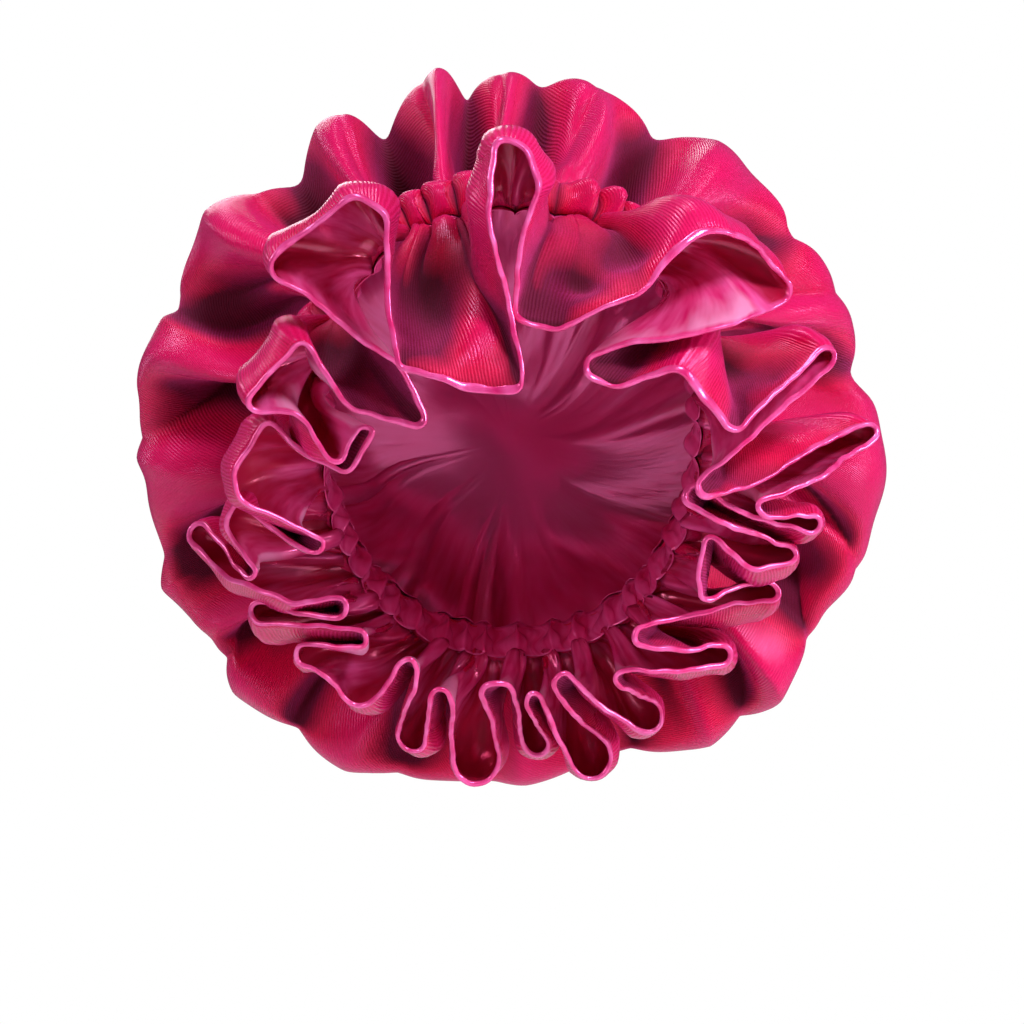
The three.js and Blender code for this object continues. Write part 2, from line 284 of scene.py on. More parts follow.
# How far a point stands out from its surroundings, which are the grid blurred round by `width` columns:
# 0 deep in a valley, 0.5 on even cloth, 1 on a crest, with `height` mm from 0 to 1.
def reliefOf(grid, normals, width, height):
    return np.clip(0.5 + ((grid - blurRound(grid, width)) * normals).sum(-1) / height, 0, 1)


# A mesh from a grid of points (mm) that closes round. The place in the flat cut becomes the UV map
# `cut`, in metres. `loose`, 0 where the cloth is gathered tight and 1 where it lies free, and `relief`
# become attributes. With `pole` the last row closes in a fan at that point. `lap`, the flat length of a
# whole round, is added where the last column meets the first, so the pattern runs on across the join.
def gridPiece(name, grid, flat, material, thick, loose=1, relief=0.5, pole=None, turn=False, lap=0):
    n, m = grid.shape[:2]
    points, uv = grid.reshape(-1, 3) * mm, flat.reshape(-1, 2) * mm
    values = {"loose": (np.zeros((n, m)) + loose).ravel(), "relief": (np.zeros((n, m)) + relief).ravel()}
    i, j = np.arange(n)[:, None], np.arange(m - 1)[None, :]
    a, b = i * m + j, ((i + 1) % n) * m + j
    quads = np.stack([a, b, b + 1, a + 1], -1).reshape(-1, 4)
    faces = (quads[:, ::-1] if turn else quads).tolist()
    if pole is not None:
        points, uv = np.vstack([points, np.array(pole) * mm]), np.vstack([uv, [0, 0]])
        values = {key: np.append(field, field[-1]) for key, field in values.items()}
        last = np.arange(n) * m + m - 1
        fan = np.stack([last, np.roll(last, -1), np.full(n, n * m)], -1)
        faces += (fan[:, ::-1] if turn else fan).tolist()
    mesh = bpy.data.meshes.new(name)
    mesh.from_pydata(points, [], faces)
    index = np.empty(len(mesh.loops), dtype=np.int32)
    mesh.loops.foreach_get("vertex_index", index)
    corners = uv[index]
    closing = slice(4 * (n - 1) * (m - 1), 4 * n * (m - 1))
    corners[closing, 0] += np.where(index[closing] < m, lap * mm, 0)
    mesh.uv_layers.new(name="cut").data.foreach_set("uv", corners.ravel())
    for key, field in values.items():
        mesh.attributes.new(key, "FLOAT", "POINT").data.foreach_set("value", field)
    mesh.polygons.foreach_set("use_smooth", np.ones(len(mesh.polygons), dtype=bool))
    mesh.materials.append(material)
    piece = bpy.data.objects.new(name, mesh)
    bpy.context.scene.collection.objects.link(piece)
    wall = piece.modifiers.new("wall", "SOLIDIFY")
    wall.thickness, wall.offset = thick * mm, 0
    print(name, "area", round(surfaceArea(grid), 4))
    return piece


# Area of a grid that closes round, in square metres: the cross product of each cell's diagonals, halved.
def surfaceArea(grid):
    ahead = np.roll(grid, -1, 0)
    cells = np.cross(ahead[:, 1:] - grid[:, :-1], ahead[:, :-1] - grid[:, 1:])
    return float(np.linalg.norm(cells, axis=-1).sum() / 2) * mm * mm


# Materials

def node(tree, kind, place=(0, 0), **values):
    made = tree.nodes.new(kind)
    made.location = place
    for key, value in values.items():
        setattr(made, key, value)
    return made


def feed(tree, socket, value):    # a number sets the socket, an output is linked to it
    if isinstance(value, (int, float)):
        socket.default_value = value
    else:
        tree.links.new(value, socket)


def reckon(tree, kind, place, *values):    # a Math node
    made = node(tree, "ShaderNodeMath", place, operation=kind)
    for socket, value in zip(made.inputs, values):
        feed(tree, socket, value)
    return made.outputs[0]


def grain(tree, size, detail, place):    # noise in object space, features of `size` metres
    where = node(tree, "ShaderNodeTexCoord", (place[0] - 400, place[1] - 150))
    made = node(tree, "ShaderNodeTexNoise", place)
    made.inputs["Detail"].default_value = detail
    tree.links.new(where.outputs["Object"], made.inputs["Vector"])
    feed(tree, made.inputs["Scale"], reckon(tree, "DIVIDE", (place[0] - 200, place[1]), 1.0, size))
    return made.outputs["Fac"]


def groupWith(name, inputs, outputs):    # a node group whose sockets are all numbers
    tree = bpy.data.node_groups.new(name, "ShaderNodeTree")
    sockets = tree.interface
    for label, start in inputs:
        sockets.new_socket(label, in_out="INPUT", socket_type="NodeSocketFloat").default_value = start
    for label in outputs:
        sockets.new_socket(label, in_out="OUTPUT", socket_type="NodeSocketFloat")
    return tree, node(tree, "NodeGroupInput", (-1100, 0)), node(tree, "NodeGroupOutput", (700, 0))


# metres: rib spacing and how far the ribs wander, size of the pile's grain and of the soft patches in the
# relief;
# then the share of each in the height, in the tone (the grain's own uneven tone, and painted shade in the
# rib grooves) and in the relief (which masks painted shade and highlight)
pileLook = {"ribSpacing": 0.00098, "wander": 0.0005, "wanderSize": 0.006, "pileSize": 0.0007,
            "patchSize": 0.03, "pileHeight": 0.9, "pileTone": 0.8, "ribShade": 0.3, "patchRelief": 0.16}


# Group: the velvet's fine ribs, which follow the flat cut, with the pile's grain over them.
# Height = rib wave x looseness + pile; the tone = the same in other shares: the grain's own uneven tone
# with painted shade in the rib grooves; Relief = the piece's own relief with soft random patches, which
# masks painted shade in hollows and painted highlight on crests.
def ribbedPileGroup():
    sizes = (("Rib spacing", pileLook["ribSpacing"]), ("Pile size", pileLook["pileSize"]),
             ("Patch size", pileLook["patchSize"]))
    tree, inside, out = groupWith("ribbedPile", sizes, ("Height", "ToneAndShade", "Relief"))
    place = node(tree, "ShaderNodeUVMap", (-1100, 300), uv_map="cut")
    split = node(tree, "ShaderNodeSeparateXYZ", (-900, 300))
    tree.links.new(place.outputs["UV"], split.inputs[0])
    loose = node(tree, "ShaderNodeAttribute", (-900, 100), attribute_name="loose").outputs["Fac"]
    wander = grain(tree, pileLook["wanderSize"], 1.0, (-700, -450))
    across = reckon(tree, "MULTIPLY_ADD", (-500, 300), wander, pileLook["wander"], split.outputs["X"])
    turns = reckon(tree, "DIVIDE", (-350, 300), across, inside.outputs["Rib spacing"])
    wave = reckon(tree, "SINE", (-50, 300), reckon(tree, "MULTIPLY", (-200, 300), turns, 2 * np.pi))
    rib = reckon(tree, "MULTIPLY_ADD", (100, 300), wave, 0.5, 0.5)
    ridge = reckon(tree, "MULTIPLY", (250, 250), rib, loose)
    pile = grain(tree, inside.outputs["Pile size"], 2.0, (-100, -100))
    height = reckon(tree, "MULTIPLY_ADD", (450, 100), pile, pileLook["pileHeight"], ridge)
    tree.links.new(height, out.inputs["Height"])
    ribShade = reckon(tree, "MULTIPLY", (250, -50), ridge, pileLook["ribShade"])
    tone = reckon(tree, "MULTIPLY_ADD", (450, -50), pile, pileLook["pileTone"], ribShade)
    tree.links.new(tone, out.inputs["ToneAndShade"])
    patches = grain(tree, inside.outputs["Patch size"], 3.0, (-100, -300))
    own = node(tree, "ShaderNodeAttribute", (-100, -500), attribute_name="relief").outputs["Fac"]
    relief = reckon(tree, "MULTIPLY_ADD", (250, -400), patches, pileLook["patchRelief"], own)
    tree.links.new(relief, out.inputs["Relief"])
    return tree


# metres: thread size and a pucker's width; a pucker's width over its length; then the threads' share in
# the height and the puckers' in the relief
weaveLook = {"threadSize": 0.0004, "puckerSize": 0.006, "slimness": 0.22, "threadHeight": 0.06,
             "puckerRelief": 0.3}


# Group: satin. Height = soft puckers, long across the cut and short along it, + fine threads;
# the tone = the puckers alone, for painted shade in their low places and painted light on their high
# ones;
# Relief = the piece's own relief + a little of them, which masks painted shade and highlight. The puckers
# fade where the cloth isn't loose.
def satinWeaveGroup():
    sizes = (("Thread size", weaveLook["threadSize"]), ("Pucker size", weaveLook["puckerSize"]))
    tree, inside, out = groupWith("satinWeave", sizes, ("Height", "ToneAndShade", "Relief"))
    threads = grain(tree, inside.outputs["Thread size"], 1.0, (-300, 150))
    place = node(tree, "ShaderNodeUVMap", (-1100, -200), uv_map="cut")
    stretched = node(tree, "ShaderNodeMapping", (-900, -200))
    stretched.inputs["Scale"].default_value = (1, weaveLook["slimness"], 1)
    tree.links.new(place.outputs["UV"], stretched.inputs["Vector"])
    noise = node(tree, "ShaderNodeTexNoise", (-500, -200))
    noise.inputs["Detail"].default_value = 2
    tree.links.new(stretched.outputs["Vector"], noise.inputs["Vector"])
    scale = reckon(tree, "DIVIDE", (-700, -50), 1.0, inside.outputs["Pucker size"])
    tree.links.new(scale, noise.inputs["Scale"])
    loose = node(tree, "ShaderNodeAttribute", (-500, -600), attribute_name="loose").outputs["Fac"]
    middle = reckon(tree, "SUBTRACT", (-300, -200), noise.outputs["Fac"], 0.5)
    puckers = reckon(tree, "MULTIPLY_ADD", (-100, -200), middle, loose, 0.5)
    height = reckon(tree, "MULTIPLY_ADD", (100, 100), threads, weaveLook["threadHeight"], puckers)
    tree.links.new(height, out.inputs["Height"])
    tree.links.new(puckers, out.inputs["ToneAndShade"])
    own = node(tree, "ShaderNodeAttribute", (-300, -400), attribute_name="relief").outputs["Fac"]
    relief = reckon(tree, "MULTIPLY_ADD", (100, -300), puckers, weaveLook["puckerRelief"], own)
    tree.links.new(relief, out.inputs["Relief"])
    return tree


def toneRamp(tree, fac, stops, tones, place):    # from one colour or grey to another between two stops
    ramp = node(tree, "ShaderNodeValToRGB", place)
    for element, at, tone in zip(ramp.color_ramp.elements, stops, tones):
        element.position = at
        element.color = (*tone, 1) if isinstance(tone, tuple) else (tone, tone, tone, 1)
    tree.links.new(fac, ramp.inputs["Fac"])
    return ramp.outputs["Color"]


def blend(tree, factor, a, b, place):    # colour b over colour a by factor
    made = node(tree, "ShaderNodeMix", place, data_type="RGBA")
    tree.links.new(factor, made.inputs["Factor"])
    for label, value in (("A", a), ("B", b)):
        if isinstance(value, tuple):
            made.inputs[label].default_value = (*value, 1)
        else:
            tree.links.new(value, made.inputs[label])
    return made.outputs["Result"]


# A material whose bump comes from the group's Height; also its tree, its shader and the group's node.
def clothMaterial(name, group, bump):
    material = bpy.data.materials.new(name)
    material.use_nodes = True
    tree = material.node_tree
    shader = tree.nodes["Principled BSDF"]
    cloth = node(tree, "ShaderNodeGroup", (-1100, 0))
    cloth.node_tree = group
    relief = node(tree, "ShaderNodeBump", (-300, -250))
    relief.inputs["Distance"].default_value = bump
    tree.links.new(cloth.outputs["Height"], relief.inputs["Height"])
    tree.links.new(relief.outputs["Normal"], shader.inputs["Normal"])
    return material, tree, shader, cloth


# colours of grooves and ridges (the grain's own uneven tone, with painted shade in the rib grooves),
# painted shade in deep folds, painted highlight on crests, and painted sheen where the surface turns away
# from the view; then where on the tone and the relief each mask starts and ends, how rough the hollows
# and crests are, and the gloss
velvetLook = {"grainAndGrooveShade": (0.42, 0.0003, 0.02), "ridge": (0.67, 0.001, 0.044),
              "deep": (0.075, 0.0001, 0.004), "crestHighlight": (0.68, 0.004, 0.11),
              "paintedSheenLow": (0.4, 0.0006, 0.04), "paintedSheenHigh": (0.8, 0.05, 0.34), "ribStops": (0.2, 0.7),
              "deepStops": (0.28, 0.58), "crestStops": (0.6, 0.95), "crestShare": 0.7,
              "paintedSheenStops": (0.3, 0.75), "edge": 0.22, "roughStops": (0.4, 0.68), "matt": 0.75,
              "shiny": 0.27, "gloss": 0.55, "glossTint": (1.0, 0.32, 0.8, 1), "sheen": 0.07,
              "sheenRough": 0.3, "sheenTint": (1.0, 0.2, 0.5, 1), "bump": 0.00014}


def velvetMaterial():
    look = velvetLook
    material, tree, shader, pile = clothMaterial("ribbedVelvet", ribbedPile, look["bump"])
    tone, relief = pile.outputs["ToneAndShade"], pile.outputs["Relief"]
    # the grain's own uneven tone, with painted shade in the rib grooves
    color = toneRamp(tree, tone, look["ribStops"], (look["grainAndGrooveShade"], look["ridge"]), (-850, 300))
    # painted shade in deep folds and valleys, by the relief
    low = toneRamp(tree, relief, look["deepStops"], (1, 0), (-850, 50))
    color = blend(tree, low, color, look["deep"], (-500, 300))
    # painted highlight on crests, by the relief
    highlightMask = toneRamp(tree, relief, look["crestStops"], (0, look["crestShare"]), (-850, -200))
    color = blend(tree, highlightMask, color, look["crestHighlight"], (-350, 300))
    # painted sheen: a pinker colour blended into the base where the surface turns away from the view
    edge = node(tree, "ShaderNodeLayerWeight", (-850, 550))
    edge.inputs["Blend"].default_value = look["edge"]
    paintedSheenTones = (look["paintedSheenLow"], look["paintedSheenHigh"])
    turned = toneRamp(tree, tone, look["paintedSheenStops"], paintedSheenTones, (-850, 800))
    color = blend(tree, edge.outputs["Facing"], color, turned, (-200, 300))
    tree.links.new(color, shader.inputs["Base Color"])
    rough = toneRamp(tree, relief, look["roughStops"], (look["matt"], look["shiny"]), (-500, 50))
    tree.links.new(rough, shader.inputs["Roughness"])    # crests shine, hollows stay matt
    shader.inputs["Specular IOR Level"].default_value = look["gloss"]
    shader.inputs["Specular Tint"].default_value = look["glossTint"]
    shader.inputs["Sheen Weight"].default_value = look["sheen"]
    shader.inputs["Sheen Roughness"].default_value = look["sheenRough"]
    shader.inputs["Sheen Tint"].default_value = look["sheenTint"]
    return material


# colours of the puckers' low and high places (painted shade and painted light), painted shade in
# hollows and painted highlight on crests; then as for the velvet
satinLook = {"deep": (0.74, 0.018, 0.18), "light": (0.96, 0.12, 0.44), "hollowShade": (0.42, 0.001, 0.016),
             "crestHighlight": (1.0, 0.36, 0.68), "puckerStops": (0.3, 0.7), "hollowStops": (0.3, 0.62),
             "hollowShare": 0.85, "crestStops": (0.78, 1.0), "crestShare": 0.8, "rough": 0.22,
             "metallic": 0.25, "gloss": 1.0, "glossTint": (1.0, 0.6, 0.9, 1), "bump": 0.0005}


def satinMaterial():
    look = satinLook
    material, tree, shader, weave = clothMaterial("pinkSatin", satinWeave, look["bump"])
    tone, relief = weave.outputs["ToneAndShade"], weave.outputs["Relief"]
    # painted shade in the puckers' low places and painted light on their high ones
    color = toneRamp(tree, tone, look["puckerStops"], (look["deep"], look["light"]), (-850, 200))
    # painted shade in hollows, by the relief
    low = toneRamp(tree, relief, look["hollowStops"], (look["hollowShare"], 0), (-850, -50))
    color = blend(tree, low, color, look["hollowShade"], (-500, 200))
    # painted highlight on crests, by the relief
    highlightMask = toneRamp(tree, relief, look["crestStops"], (0, look["crestShare"]), (-850, -300))
    tree.links.new(blend(tree, highlightMask, color, look["crestHighlight"], (-350, 200)), shader.inputs["Base Color"])
    shader.inputs["Roughness"].default_value = look["rough"]
    shader.inputs["Metallic"].default_value = look["metallic"]
    shader.inputs["Specular IOR Level"].default_value = look["gloss"]
    shader.inputs["Specular Tint"].default_value = look["glossTint"]
    return material


ribbedPile = ribbedPileGroup()
satinWeave = satinWeaveGroup()
velvet = velvetMaterial()
satin = satinMaterial()
print("materials made")


# Ruffle. Each row is a belt round the pins; from band to rim the pins move from the band to the folds
# and grow from a gather's radius to their own.
# gather: a gather's radius; arch: how far the rows bow outward; crowd: extra room for a turn, mm a
# radian; rootWave: the gathers near the band, which swell and fade over a share of the width; sway: a
# slow drift; crinkle: the rim's small waves; roll, strip: the satin's turn round the rim and its end on
# the velvet, both uneven; reliefWide, reliefTall: the columns and mm that tell a crest from a hollow
ruffle = {"gather": 1.8, "arch": 9, "arcSteps": 9, "legSteps": 9, "columns": 1500, "rows": 28,
          "crowd": 5, "rowPower": 1.15, "offBand": 0.4, "sharpTurn": 0.6, "depthBlur": 7,
          "rootWave": 4.6, "rootSwells": 0.06, "rootFades": 0.3, "seamFades": 0.1, "sway": 2.6,
          "swayLong": 46, "crinkle": 0.5, "crinkleLong": 9, "crinkleFrom": 0.6, "bulge": 6.5,
          "bulgePower": 1.6, "crease": 0.9, "creaseLong": 40, "creaseNarrow": 0.2, "dentDeep": 22,
          "reliefWide": 9, "reliefTall": 9, "velvetThick": 1.1, "velvetAt": 0.62, "satinThick": 0.4,
          "satinAt": -0.32, "roll": 0.82, "rollFlat": 0.6, "rollSteps": 9, "rollUneven": 0.25,
          "rollPucker": 0.13, "strip": 1.6, "stripPucker": 0.35, "stripLow": 0.45, "stripHigh": 2.4}


# One row at t, 0 at the band and 1 at the rim: arcs round the pins joined by straight legs. A leg
# leaves its pin square to the radius, tilted by the arcsine of (difference of the two radii over their
# distance). Also the turn made at each point and its band angle.
def beltRow(t):
    radius, side, at = folds.T[3:]
    start = bandPoint(at) + forward * ruffle["offBand"]
    pins = start * (1 - t) + folds[:, :3] * t + outwardAt(at) * ruffle["arch"] * 4 * t * (1 - t)
    reach = (ruffle["gather"] * (1 - t) + radius * t) * side
    step = np.roll(pins, -1, 0) - pins
    size = np.hypot(step[:, 0], step[:, 2])
    tilt = np.arcsin(np.clip((np.roll(reach, -1) - reach) / size, -0.98, 0.98))
    leg = np.arctan2(step[:, 2], step[:, 0]) + tilt
    before = np.roll(leg, 1)
    turn = (leg - before + np.pi) % (2 * np.pi) - np.pi
    sharp = ruffle["sharpTurn"] * np.pi
    turn = np.where((side > 0) & (turn > sharp), turn - 2 * np.pi, turn)
    turn = np.where((side < 0) & (turn < -sharp), turn + 2 * np.pi, turn)
    wraps = (turn * side < 0)[:, None]
    share = np.linspace(0, 1, ruffle["arcSteps"])[None, :]
    angle = before[:, None] + turn[:, None] * np.where(wraps, share, 0.5)
    slide = np.where(wraps, 0, (share - 0.5) * np.abs(reach)[:, None])
    dx = np.cos(angle) * slide - np.sin(angle) * reach[:, None]
    dz = np.sin(angle) * slide + np.cos(angle) * reach[:, None]
    arc = pins[:, None, :] + np.stack([dx, -(1 - t) * dz * band["lean"] / band["halfTall"], dz], -1)
    way = np.linspace(0, 1, ruffle["legSteps"] + 2)[1:-1]
    legs = arc[:, -1:] * (1 - way[:, None]) + np.roll(arc[:, 0], -1, 0)[:, None] * way[:, None]
    arcs = ruffle["arcSteps"] - 1
    turned = np.repeat(np.abs(turn)[:, None] / arcs, arcs, 1)
    turned = np.concatenate([turned, np.zeros((len(pins), ruffle["legSteps"] + 1))], 1)
    gap = (np.roll(at, -1) - at) % 360
    onArc = np.repeat(at[:, None], ruffle["arcSteps"], 1)
    degrees = np.concatenate([onArc, at[:, None] + gap[:, None] * way], 1)
    return np.concatenate([arc, legs], 1).reshape(-1, 3), turned.ravel(), degrees.ravel()


# All rows on shared columns, closer together round the folds; depth changes gently along the rim.
def ruffleGrid():
    rim, turned, degrees = beltRow(1.0)
    size = np.linalg.norm(np.roll(rim, -1, 0) - rim, axis=1) + turned * ruffle["crowd"]
    along = np.concatenate([[0], np.cumsum(size)])
    places = np.arange(len(rim) + 1)
    pick = np.interp(np.linspace(0, along[-1], ruffle["columns"], endpoint=False), along, places)
    heights = np.linspace(0, 1, ruffle["rows"]) ** ruffle["rowPower"]
    rows = []
    for t in heights:
        row = beltRow(t)[0]
        closed = np.vstack([row, row[:1]])
        rows.append(np.stack([np.interp(pick, places, closed[:, k]) for k in range(3)], -1))
    grid = np.stack(rows, 1)
    grid[:, :, 1] = blurRound(grid[:, :, 1], ruffle["depthBlur"])
    return blurRound(grid, 1.0), np.interp(pick, places, np.append(degrees, 360.0)), heights


ruffleCloth, ruffleDeg, ruffleT = ruffleGrid()
t = ruffleT[None, :]

# the cloth sways, swells on its crests, wanders in creases and takes the dents
sway = ruffle["sway"] * smooth(t / 0.5)
ruffleCloth = ruffleCloth + softPush(ruffleCloth, ruffle["swayLong"], 3) * sway[..., None]
normals = gridNormals(ruffleCloth)
crests = reliefOf(ruffleCloth, normals, ruffle["reliefWide"], ruffle["reliefTall"]) ** 1.5
bulge = ruffle["bulge"] * crests * np.sin(np.pi * t ** ruffle["bulgePower"])
wandering = creases(ruffleCloth, ruffle["creaseLong"], ruffle["creaseNarrow"], 7)
bulge = bulge - ruffle["crease"] * wandering * smooth(t * 2)
for x, y, z, across, up, depth in ruffleDents:
    away = (ruffleCloth - [x, y, z]) / [across, ruffle["dentDeep"], up]
    bulge -= depth * np.exp(-(away ** 2).sum(-1)) * smooth((1 - t) * 4)
ruffleCloth = ruffleCloth + normals * bulge[..., None]

# the gathers' waves near the band and the rim's small ones
normals = gridNormals(ruffleCloth)
wave = gatherWave(ruffleDeg)[:, None]
swell = ruffle["rootWave"] * smooth(t / ruffle["rootSwells"]) * np.exp(-(t / ruffle["rootFades"]) ** 2)
rootWave = wave * (gathers["seam"] * np.exp(-t / ruffle["seamFades"]) + swell)
rimShare = smooth((t - ruffle["crinkleFrom"]) / (1 - ruffle["crinkleFrom"]))
crinkle = ruffle["crinkle"] * softWaves(ruffleCloth, ruffle["crinkleLong"], 5) * rimShare
ruffleCloth = ruffleCloth + normals * (rootWave + crinkle)[..., None]
normals = gridNormals(ruffleCloth)

rimSteps = np.linalg.norm(np.roll(ruffleCloth[:, -1], -1, 0) - ruffleCloth[:, -1], axis=1)
rimLength = float(rimSteps.sum())
alongRim = np.cumsum(rimSteps) - rimSteps
alongCut = (alongRim * cut["ruffleLong"] / rimLength)[:, None]
flatPlace = np.stack([alongCut + 0 * t, 0 * alongCut + cut["ruffleWide"] * t], -1)
perimeters = np.linalg.norm(np.roll(ruffleCloth, -1, 0) - ruffleCloth, axis=2).sum(0)
looseness = smooth(perimeters / rimLength)[None, :] + 0 * alongRim[:, None]


def ruffleLayer(out):    # the cloth moved out by so many mm
    return ruffleCloth + normals * out


# the relief masks the velvet's painted shade in hollows and painted highlight on crests
ruffleRelief = reliefOf(ruffleCloth, normals, ruffle["reliefWide"], ruffle["reliefTall"])
ruffleVelvet = gridPiece("ruffleVelvet", ruffleLayer(ruffle["velvetAt"]), flatPlace, velvet,
                         ruffle["velvetThick"], looseness, ruffleRelief, turn=True, lap=cut["ruffleLong"])

# The satin lines the inner side, rolls round the rim and ends in a narrow strip on the velvet.
# Each step of the roll is its way out and up, in radii, and its way back, in strip widths.
rim = ruffleCloth[:, -1]
rimWay, rimNormal = unit(rim - ruffleCloth[:, -2]), normals[:, -1]
middle = ruffle["satinAt"] + ruffle["roll"]
uneven = 1 + ruffle["rollPucker"] * softWaves(rim, 7, 9) + ruffle["rollUneven"] * softWaves(rim, 45, 8)
roll = ruffle["roll"] * uneven[:, None]
turns = np.radians(np.linspace(-90, 90, ruffle["rollSteps"]))
path = [(math.cos(a) * ruffle["rollFlat"], math.sin(a), 0) for a in turns]
path += [(0, 1.0, -0.5), (0, 0.85, -0.85), (0, 0.45, -1)]
uneven = 1 + softWaves(rim, 48, 10) + ruffle["stripPucker"] * softWaves(rim, 9, 11)
strip = ruffle["strip"] * np.clip(uneven, ruffle["stripLow"], ruffle["stripHigh"])[:, None]
satinPicks = np.arange(0, ruffle["rows"] - 1, 2)    # every second row is fine enough
satinRows = [ruffleLayer(ruffle["satinAt"])[:, j] for j in satinPicks]
satinRows += [rim + rimWay * (out * roll + back * strip) + rimNormal * (middle + up * roll)
              for out, up, back in path]
satinFlat = [flatPlace[:, j] for j in satinPicks]
satinFlat += [flatPlace[:, -1] + [0, 0.4 * k] for k in range(len(path))]
# the satin's relief, the velvet's turned over, masks its painted shade and highlight; it is lower toward
# the band, so there is more painted shade there
satinRelief = ((1 - ruffleRelief) * (0.45 + 0.75 * t))[:, satinPicks]    # darker toward the band
satinRelief = np.concatenate([satinRelief, np.full((ruffle["columns"], len(path)), 0.6)], 1)
ruffleSatin = gridPiece("ruffleSatin", np.stack(satinRows, 1), np.stack(satinFlat, 1), satin,
                        ruffle["satinThick"], relief=satinRelief, turn=True, lap=cut["ruffleLong"])
print("ruffle made, rim", round(rimLength), "mm")


# Casing: between the two seams the channel puffs out and its cloth ruches round the elastic.
# puff, inner: how far the velvet stands out and the satin in; ruche: the puffs' waves between the seams;
# over: the satin's share of the width past each seam, which hides the seams; innerGap: satin to velvet
casing = {"columns": 1200, "rows": 13, "puff": 9.0, "ruche": 5.4, "archPower": 0.7, "sway": 2.6,
          "swayLag": 1.3, "uneven": 0.3, "velvetThick": 1.1, "velvetLoose": 0.7, "satinThick": 0.4,
          "inner": 2.2, "innerRuche": 0.7, "innerGap": 0.9, "over": 0.12}
casingDeg = np.linspace(0, 360, casing["columns"], endpoint=False)
casingOut = outwardAt(casingDeg)


# Place at w, 0 at the front seam and 1 at the back one, and in the flat strip. Lift = puff x arch,
# unevenly, + gathers at the seams + ruche between them.
def casingGrid(puff, ruche, over=0):
    w = np.linspace(-over, 1 + over, casing["rows"])[None, :]
    arch = np.sin(np.pi * np.clip(w, 0, 1)) ** casing["archPower"]
    drift = np.sin(np.radians(17 * casingDeg)) * np.sin(np.radians(29 * casingDeg + 40))
    uneven = 1 + casing["uneven"] * drift[:, None]
    waves = gatherWave(casingDeg)[:, None]
    lift = arch * puff * uneven + waves * (gathers["seam"] * (1 - arch) + ruche * arch)
    sway = casing["sway"] * np.sin(2 * np.pi * w) * gatherWave(casingDeg + casing["swayLag"])[:, None]
    around = unit(np.cross(casingOut, forward))
    seam = bandPoint(casingDeg)[:, None] - forward * band["wide"] * w[..., None]
    cloth = seam + casingOut[:, None] * lift[..., None] + around[:, None] * sway[..., None]
    alongCut = cut["casingLong"] * casingDeg[:, None] / 360
    return cloth, np.stack([alongCut + 0 * w, cut["casingWide"] * w + 0 * alongCut], -1)


casingCloth, flat = casingGrid(casing["puff"], casing["ruche"])
# the casing's relief follows the gathers: painted shade in their valleys and painted highlight on their
# ridges
relief = np.clip(0.5 + gatherWave(casingDeg) * 0.5, 0, 1)[:, None]
bandVelvet = gridPiece("bandVelvet", casingCloth, flat, velvet, casing["velvetThick"],
                       casing["velvetLoose"], relief, lap=cut["casingLong"])
casingCloth, flat = casingGrid(-casing["inner"], casing["ruche"] * casing["innerRuche"], casing["over"])
casingCloth -= casingOut[:, None] * casing["innerGap"]
bandSatin = gridPiece("bandSatin", casingCloth, flat, satin, casing["satinThick"], lap=cut["casingLong"])
print("band made")


# Crown: columns follow the lobes. The front swells from the band to the outline, the back is a dome.
# backY, backZ: the pole; rise, roll: how far the front curve leaves the band and rolls over to the
# outline; widest, slope: the outline's depth and its lean; crease, napeCalm: valleys between lobes, and
# their rest at the nape; folds: lift of the table's folds, of which outlineKeeps is taken off near the
# outline; gather: waves at the band; sway, wrinkle: soft drift and creases; satinIn: satin to velvet
crown = {"columns": 720, "frontRows": 36, "backRows": 26, "frontPower": 1.3, "backY": 150, "backZ": -4,
         "crease": 36, "creasePower": 0.72, "round": 0.62, "evenBlur": 34, "normalBlur": 14,
         "rise": 0.55, "roll": 0.34, "widest": 52, "slope": 0.34, "folds": 1.8, "foldPower": 1.4,
         "gather": 4.2, "gatherLong": 30, "sway": 5.0, "swayLong": 62, "wrinkle": 4.2,
         "wrinkleRound": 95, "wrinkleFall": 0.3, "napeAt": 168, "napeWide": 34, "napeCalm": 0.9,
         "poleCalm": 18, "poleFades": 90, "outlineKeeps": 0.75, "outlineWide": 0.3, "reliefWide": 11,
         "reliefTall": 8.5, "velvetThick": 1.4, "satinThick": 0.4, "satinIn": 2.8, "satinRound": 85}


